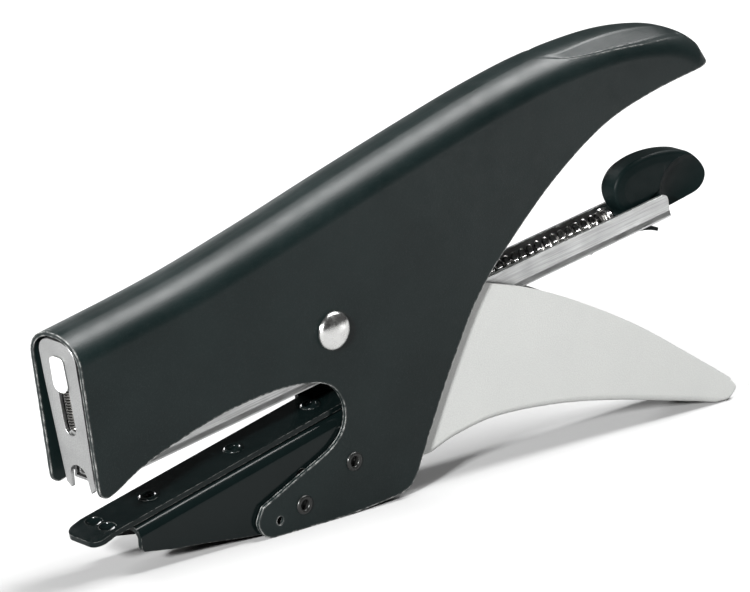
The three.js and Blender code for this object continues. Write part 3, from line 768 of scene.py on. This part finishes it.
def catch_lug():
    """The ear under the magazine that the catch's pin goes through."""
    x, z = CATCH_PIN
    outline = [(x - 1.5, 0.2), (x - 0.8, z - 0.6), (x + 0.8, z - 0.6), (x + 1.5, 0.2)]
    mesh = slab([outline, circle(CATCH_PIN, 0.4, 16)], -0.45, 0.45)
    piece("magazine_channel", mesh, bevel=0.08, name="catch_lug")


def magazine_channel():
    """A channel with its floor below and a band along each foot that stands out by flare. The walls' edge
    runs forwards from the rear end, over the ears round the pivot and up to the head."""
    depth = 2.3
    flare = 0.28
    band = [(0, 0), (0, 0.4), (-0.03, 0.47), (-0.23, 0.78), (-flare, 0.86), (-0.24, 0.94), (-0.1, 0.985),
            (0.2, 1)]
    floor = divided([(3.4, 0), (MAGAZINE_END, 0)], 4)
    inner = [(x, depth) for x, z in floor]
    end = MAGAZINE_END
    wall = MAGAZINE_WALL
    edge = chained(
        [(end, wall - 1.8)],
        bend((end, wall - 1.8), (end, wall), (end - 1.8, wall)),
        [(66, wall)],
        bend((66, wall), (63.6, wall), (63.2, 8)),
        arc(PIVOT, 6.2, 0, math.pi, 28),
        bend((51.1, 10.5), (51, wall), (47, wall)),
        [(22, wall)],
        bend((22, wall), (14, 5.2), (11.4, 19.6)),
        [(1.9, 20.4), (2.5, depth)],
    )
    holes = [circle(PIVOT, PIVOT_HOLE)]
    mesh = folded(floor, inner, [band] * len(floor), MAGAZINE_HALF - flare, edge, holes)
    hook_hole = block(137.6, 140.6, -1.1, 1.1, -1, 2)
    piece("magazine_channel", mesh, sheet=0.55, bevel=0.12, cutters=[hook_hole], bevel_angle=55)
    catch_lug()


def staple_rail():
    """The inner channel that the staples straddle."""
    start = 3.6
    bottom = 0.85
    top = 4.6
    half = 2.8
    fold = 0.5
    floor = divided([(start, bottom), (RAIL_END, bottom)], 6)
    inner = [(x, bottom + fold) for x, z in floor]
    edge = [(RAIL_END, top - 0.2), (RAIL_END - 0.2, top), (start, top)]
    mesh = folded(floor, inner, [round_fold(fold, 4)] * len(floor), half, edge)
    piece("staple_rail", mesh, sheet=0.45, bevel=0.1, bevel_angle=55)


def catch_pin():
    profile = [(0, -1.55), (0.24, -1.55), (0.3, -1.48), (0.3, 1.48), (0.24, 1.55), (0, 1.55)]
    piece("catch_pin", turned(profile, (CATCH_PIN[0], 0, CATCH_PIN[1]), steps=20))


def guide_rod():
    profile = [(0, 5.2), (0.45, 5.2), (ROD_RADIUS, 5.6), (ROD_RADIUS, ROD_END), (0, ROD_END)]
    piece("guide_rod", turned(profile, (0, 0, ROD_HEIGHT), "x", 24))


def pusher_spring():
    wire = 0.25
    path = coil(1.74, SPRING_START + 0.3, SEAT_FACE - 0.25, wire, turns=62, dead=2.5)
    mesh = tube([(z, y, x + ROD_HEIGHT) for x, y, z in path], wire, 7)
    spring = piece("pusher_spring", mesh)
    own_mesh(spring)


def spring_seat():
    front = SEAT_FACE
    back = SEAT_FACE + 1.1
    rim = [(2.2, front), (2.3, front + 0.12), (2.3, back - 0.1), (2.2, back)]
    profile = [(1.0, front), *rim, (1.0, back)]
    piece("spring_seat", turned(profile, (0, 0, ROD_HEIGHT), "x", 40, closed=True))


def ear_side():
    """The ear's rounded side, as pairs of how far in from its outline a ring of corners lies and how far out
    from the middle plane."""
    edge_half = 1.45
    shoulder = [(inset, edge_half + 0.8 * rise) for inset, rise in round_fold(1.1, 7)]
    return shoulder + [(1.5, 2.36), (1.9, 2.44), (2.2, KNOB_HALF)]


def knob_ear():
    """The ear without its dishes: rings of corners across its edge, and a hub that closes each side."""
    ear = chained(
        spline((138.4, 1.1), (136.4, 4), (134.9, 6.9), (134.8, 9.5), (136.3, 11.6), (138.6, 12.7),
               (142.6, 13.2), (147.3, 12.8), (152, 11.6), (155.3, 10), (158, 7.2), (159.1, 4.7), (158.4, 2.7),
               (156.4, 1.5), (153, 1.1), steps=9),
        [(148, 1.1)],
    )
    mesh = bmesh.new()
    rings = []
    for inset, y in mirrored(ear_side()):
        ring = beside(ear[-1:] + ear + ear[:1], -inset)[1:-1] if inset else ear
        rings.append([mesh.verts.new((x, y, z)) for x, z in ring])
    count = len(ear)
    for lower, upper in zip(rings, rings[1:]):
        for i in range(count):
            mesh.faces.new((lower[i], lower[(i + 1) % count], upper[(i + 1) % count], upper[i]))
    for ring in (rings[0], rings[-1]):
        hub = mesh.verts.new((KNOB_MIDDLE[0], ring[0].co.y, KNOB_MIDDLE[1]))
        for i in range(count):
            mesh.faces.new((ring[i], ring[(i + 1) % count], hub))
    bmesh.ops.recalc_face_normals(mesh, faces=mesh.faces)
    return mesh


def thumb_knob():
    """A thin ear with a dish for the thumb in each side, on a foot that slides in the magazine."""
    dishes = [egg((8.4, 3.8, 6.6), (153, side * (KNOB_HALF + 2), 4.8), 96, 64) for side in (-1, 1)]
    foot = block(134.2, 146.4, -3.1, 3.1, 0.95, 4.6)
    piece("thumb_knob", knob_ear(), bevel=0.15, cutters=dishes, solver="MANIFOLD", bevel_angle=38)
    piece("thumb_knob", foot, bevel=0.3, name="knob_foot")


# ---------------------------------------------------------------- materials

class Surface:
    """A procedural material: a Principled shader and the textures wired into it. A source is the output of a
    node, and noise scales are in cycles per metre, so that 5200 is a grain of a fifth of a millimetre."""

    def __init__(self, name, **fixed):
        self.material = bpy.data.materials.new(name)
        self.material.use_nodes = True
        self.tree = self.material.node_tree
        self.shader = self.tree.nodes["Principled BSDF"]
        for socket, value in fixed.items():
            self.shader.inputs[socket.replace("_", " ")].default_value = value
        self.place = self.tree.nodes.new("ShaderNodeTexCoord").outputs["Object"]

    def wire(self, source, target):
        self.tree.links.new(source, target)

    def stretched(self, scale):
        """Object coordinates turned level with the magazine and scaled along its axes."""
        level = self.tree.nodes.new("ShaderNodeVectorRotate")
        level.rotation_type = "Y_AXIS"
        level.inputs["Angle"].default_value = TILT
        self.wire(self.place, level.inputs["Vector"])
        mapping = self.tree.nodes.new("ShaderNodeMapping")
        mapping.inputs["Scale"].default_value = scale
        self.wire(level.outputs[0], mapping.inputs["Vector"])
        return mapping.outputs[0]

    def noise(self, scale, detail=3.0, stretch=None):
        texture = self.tree.nodes.new("ShaderNodeTexNoise")
        texture.inputs["Scale"].default_value = scale
        texture.inputs["Detail"].default_value = detail
        self.wire(self.stretched(stretch) if stretch else self.place, texture.inputs["Vector"])
        return texture.outputs["Fac"]

    def edge(self, radius):
        """1 on edges that are rounded within radius and 0 on flat faces. It marks where paint wears off, and on
        the black paint it also carries a painted highlight along the rounded edges.
        """
        soft = self.tree.nodes.new("ShaderNodeBevel")
        soft.samples = 4
        soft.inputs["Radius"].default_value = radius
        plain = self.tree.nodes.new("ShaderNodeNewGeometry")
        dot = self.tree.nodes.new("ShaderNodeVectorMath")
        dot.operation = "DOT_PRODUCT"
        self.wire(soft.outputs[0], dot.inputs[0])
        self.wire(plain.outputs["Normal"], dot.inputs[1])
        full_edge_mark = 0.75
        return self.spread(dot.outputs["Value"], full_edge_mark, 1.0, 1.0, 0.0)

    def spread(self, source, from_low, from_high, low, high):
        """Turns the range from_low to from_high into low to high, and clips what lies outside."""
        node = self.tree.nodes.new("ShaderNodeMapRange")
        node.inputs["From Min"].default_value = from_low
        node.inputs["From Max"].default_value = from_high
        node.inputs["To Min"].default_value = low
        node.inputs["To Max"].default_value = high
        self.wire(source, node.inputs["Value"])
        return node.outputs["Result"]

    def multiply(self, first, second):
        node = self.tree.nodes.new("ShaderNodeMath")
        node.operation = "MULTIPLY"
        self.wire(first, node.inputs[0])
        self.wire(second, node.inputs[1])
        return node.outputs[0]

    def mix(self, factor, first, second):
        """A colour between first and second, each a colour or an output."""
        node = self.tree.nodes.new("ShaderNodeMix")
        node.data_type = "RGBA"
        self.wire(factor, node.inputs[0])
        for socket, value in ((node.inputs[6], first), (node.inputs[7], second)):
            if isinstance(value, tuple):
                socket.default_value = (*value, 1)
            else:
                self.wire(value, socket)
        return node.outputs[2]

    def colour(self, source):
        self.wire(source, self.shader.inputs["Base Color"])

    def roughness(self, source, low, high):
        """Noise mostly lies between 0.3 and 0.7, so that range is used in full."""
        self.wire(self.spread(source, 0.3, 0.7, low, high), self.shader.inputs["Roughness"])

    def bump(self, *heights):
        """Stacks bumps, each an output and its height in microns."""
        below = None
        for source, height in heights:
            node = self.tree.nodes.new("ShaderNodeBump")
            node.inputs["Strength"].default_value = 1.0
            node.inputs["Distance"].default_value = height * MICRON
            self.wire(source, node.inputs["Height"])
            if below:
                self.wire(below, node.inputs["Normal"])
            below = node.outputs[0]
        self.wire(below, self.shader.inputs["Normal"])


def black_paint():
    """Satin black powder paint with a fine grain. Its edges are painted lighter: partly bare steel where the paint
    wears off, partly a painted highlight along the rounded edges.
    """
    paint = Surface("black_paint", Specular_IOR_Level=0.15)
    cloud = paint.spread(paint.noise(60, 4), 0.35, 0.65, 0, 1)
    grain = paint.noise(5200, 2)
    base = paint.mix(cloud, (0.0012, 0.0036, 0.0036), (0.0024, 0.0054, 0.0054))
    flecks = paint.spread(grain, 0.55, 0.8, 0, 0.35)
    speckled = paint.mix(flecks, base, (0.02, 0.026, 0.025))
    # Lighter edges: partly bare steel where the paint is worn, partly a painted highlight on the rounded edges.
    lighter_edge = paint.multiply(paint.edge(0.0005), paint.spread(paint.noise(900, 3), 0.4, 0.65, 0.1, 0.85))
    paint.colour(paint.mix(lighter_edge, speckled, (0.36, 0.36, 0.35)))
    paint.roughness(paint.noise(300, 4), 0.34, 0.42)
    paint.bump((grain, 18), (paint.noise(1500, 3), 12))
    return paint.material


def black_gloss():
    """Gloss black enamel, a little worn on its edges."""
    paint = Surface("black_gloss", Specular_IOR_Level=0.13)
    cloud = paint.noise(120, 4)
    base = paint.mix(cloud, (0.001, 0.0025, 0.0025), (0.0025, 0.0045, 0.0045))
    lighter_edge = paint.multiply(paint.edge(0.0002), paint.spread(paint.noise(1200, 3), 0.42, 0.66, 0, 0.6))
    paint.colour(paint.mix(lighter_edge, base, (0.22, 0.22, 0.21)))
    paint.roughness(paint.noise(500, 4), 0.12, 0.2)
    paint.bump((paint.noise(700, 3), 10))
    return paint.material


def grey_paint():
    """Pale powder paint with a fine darker grain."""
    paint = Surface("grey_paint", Specular_IOR_Level=0.35)
    grain = paint.noise(3800, 3)
    cloud = paint.noise(70, 4)
    base = paint.mix(cloud, (0.31, 0.315, 0.307), (0.344, 0.347, 0.336))
    paint.colour(paint.mix(paint.spread(grain, 0.35, 0.65, 0, 0.5), base, (0.255, 0.26, 0.255)))
    paint.roughness(paint.noise(400, 3), 0.5, 0.62)
    paint.bump((grain, 40), (paint.noise(1100, 2), 20))
    return paint.material


def bright_steel():
    """Polished steel with faint clouds."""
    metal = Surface("bright_steel", Metallic=1.0)
    cloud = metal.noise(350, 5)
    metal.colour(metal.mix(cloud, (0.42, 0.42, 0.41), (0.66, 0.66, 0.65)))
    metal.roughness(metal.noise(900, 4), 0.16, 0.3)
    metal.bump((metal.noise(1600, 3), 8))
    return metal.material


def brushed_steel():
    """Zinc-plated sheet with fine lines along the magazine."""
    metal = Surface("brushed_steel", Metallic=1.0)
    lines = metal.noise(1, 4, (120, 5200, 5200))
    cloud = metal.noise(180, 5)
    base = metal.mix(cloud, (0.32, 0.325, 0.325), (0.51, 0.515, 0.51))
    metal.colour(metal.mix(metal.spread(lines, 0.35, 0.65, 0, 0.6), base, (0.2, 0.2, 0.2)))
    metal.roughness(metal.noise(400, 4), 0.3, 0.46)
    metal.bump((lines, 10), (metal.noise(2200, 2), 6))
    return metal.material


def dark_steel():
    """Blackened steel, worn on its edges."""
    metal = Surface("dark_steel", Metallic=0.8)
    cloud = metal.noise(260, 5)
    base = metal.mix(cloud, (0.012, 0.013, 0.013), (0.035, 0.035, 0.034))
    lighter_edge = metal.multiply(metal.edge(0.0002), metal.spread(metal.noise(1000, 3), 0.35, 0.65, 0, 0.8))
    metal.colour(metal.mix(lighter_edge, base, (0.2, 0.2, 0.195)))
    metal.roughness(metal.noise(700, 4), 0.26, 0.44)
    metal.bump((metal.noise(1500, 3), 15))
    return metal.material


def spring_steel():
    """Dark oiled wire."""
    metal = Surface("spring_steel", Metallic=1.0)
    cloud = metal.noise(420, 5)
    metal.colour(metal.mix(cloud, (0.06, 0.06, 0.058), (0.2, 0.195, 0.185)))
    metal.roughness(metal.noise(1400, 3), 0.22, 0.42)
    metal.bump((metal.noise(2600, 2), 10))
    return metal.material


def white_plastic():
    """White moulded plastic that light sinks into a little."""
    plastic = Surface("white_plastic", Specular_IOR_Level=0.5, Subsurface_Weight=0.08)
    plastic.shader.inputs["Subsurface Radius"].default_value = (0.0008, 0.0007, 0.0006)
    cloud = plastic.noise(500, 3)
    plastic.colour(plastic.mix(cloud, (0.46, 0.47, 0.46), (0.53, 0.535, 0.525)))
    plastic.roughness(plastic.noise(900, 3), 0.32, 0.46)
    plastic.bump((plastic.noise(2400, 2), 10))
    return plastic.material


def black_plastic():
    """Fine matt moulded black."""
    plastic = Surface("black_plastic", Specular_IOR_Level=0.06)
    grain = plastic.noise(3000, 2)
    cloud = plastic.noise(150, 4)
    plastic.colour(plastic.mix(cloud, (0.0012, 0.0034, 0.0034), (0.0024, 0.005, 0.005)))
    plastic.roughness(plastic.noise(500, 3), 0.38, 0.52)
    plastic.bump((grain, 25))
    return plastic.material


MATERIALS = {
    "black_paint": black_paint(),
    "black_gloss": black_gloss(),
    "grey_paint": grey_paint(),
    "bright_steel": bright_steel(),
    "brushed_steel": brushed_steel(),
    "dark_steel": dark_steel(),
    "spring_steel": spring_steel(),
    "white_plastic": white_plastic(),
    "black_plastic": black_plastic(),
}


# ---------------------------------------------------------------- camera, floor and lights

# The camera looks at TARGET from the front left and from above. AZIMUTH turns its view away from +Y.
AZIMUTH = math.radians(42.376)
ELEVATION = math.radians(16.601)
DISTANCE = 0.9644
LENS = 251.86
FLOOR_HALF = 3.0
FLOOR_GREY = 0.29
WORLD_LIGHT = 0.07
TARGET = Vector((-0.00746, 0.0, 0.03791))
VIEW = Vector((
    math.sin(AZIMUTH) * math.cos(ELEVATION),
    math.cos(AZIMUTH) * math.cos(ELEVATION),
    -math.sin(ELEVATION),
))


def make_camera():
    data = bpy.data.cameras.new("camera")
    data.lens = LENS
    data.sensor_width = 36.0
    data.clip_start = 0.01
    data.clip_end = 20.0
    camera = bpy.data.objects.new("camera", data)
    camera.location = TARGET - DISTANCE * VIEW
    camera.rotation_euler = VIEW.to_track_quat("-Z", "Y").to_euler()
    bpy.context.scene.collection.objects.link(camera)
    bpy.context.scene.camera = camera


def make_floor():
    half = FLOOR_HALF
    corners = [(-half, -half, 0), (half, -half, 0), (half, half, 0), (-half, half, 0)]
    mesh = bpy.data.meshes.new("floor")
    mesh.from_pydata(corners, [], [(0, 1, 2, 3)])
    floor = bpy.data.objects.new("floor", mesh)
    bpy.context.scene.collection.objects.link(floor)
    pale = bpy.data.materials.new("floor")
    pale.use_nodes = True
    shader = pale.node_tree.nodes["Principled BSDF"]
    shader.inputs["Base Color"].default_value = (FLOOR_GREY, FLOOR_GREY, FLOOR_GREY, 1)
    shader.inputs["Roughness"].default_value = 0.9
    shader.inputs["Specular IOR Level"].default_value = 0.0
    mesh.materials.append(pale)


def area_light(name, direction, distance, width, height, power):
    """A soft rectangle of light that faces the object from a direction."""
    data = bpy.data.lights.new(name, "AREA")
    data.shape = "RECTANGLE"
    data.size = width
    data.size_y = height
    data.energy = power
    light = bpy.data.objects.new(name, data)
    away = Vector(direction).normalized()
    light.location = TARGET + distance * away
    light.rotation_euler = (-away).to_track_quat("-Z", "Y").to_euler()
    bpy.context.scene.collection.objects.link(light)


def floor_spot():
    """A soft patch on the floor in front of the handle, which the shell's wall mirrors at its rear."""
    data = bpy.data.lights.new("floor_spot", "SPOT")
    data.energy = 90
    data.spot_size = math.radians(22)
    data.spot_blend = 1.0
    data.shadow_soft_size = 0.05
    light = bpy.data.objects.new("floor_spot", data)
    light.location = (0.2, -0.175, 0.5)
    bpy.context.scene.collection.objects.link(light)


def make_lights():
    """A wide strip overhead for the long highlight on the crown, a small key from the front that throws the
    shell's shadow on the handle, and a low light behind that brightens the far side."""
    world = bpy.data.worlds.new("world")
    bpy.context.scene.world = world
    world.use_nodes = True
    background = world.node_tree.nodes["Background"]
    background.inputs[0].default_value = (1, 1, 1, 1)
    background.inputs[1].default_value = WORLD_LIGHT
    area_light("strip", (0.42, -0.02, 0.9), distance=1.3, width=0.7, height=1.0, power=62)
    area_light("key", (-0.86, -0.38, 0.34), distance=1.2, width=0.12, height=0.12, power=52)
    area_light("back", (0.1, 0.93, 0.36), distance=1.2, width=0.5, height=0.3, power=14)
    floor_spot()


make_camera()
make_floor()
make_lights()
bpy.context.scene.view_settings.view_transform = "Standard"

body_shell()
main_pivot_rivet()
pivot_sleeve()
handle_torsion_spring()
anvil_plate()
anvil_arm()
anvil_rivets()
jaw_rivets()
lower_handle()
refined("drive_arm", 0.15)
arm_rivet()
front_plate()
refined("driver_blade", 0.08)
return_spring()
drive_nose()
magazine_channel()
staple_rail()
catch_pin()
refined("release_catch", 0.1)
refined("follower", 0.12)
guide_rod()
pusher_spring()
spring_seat()
thumb_knob()
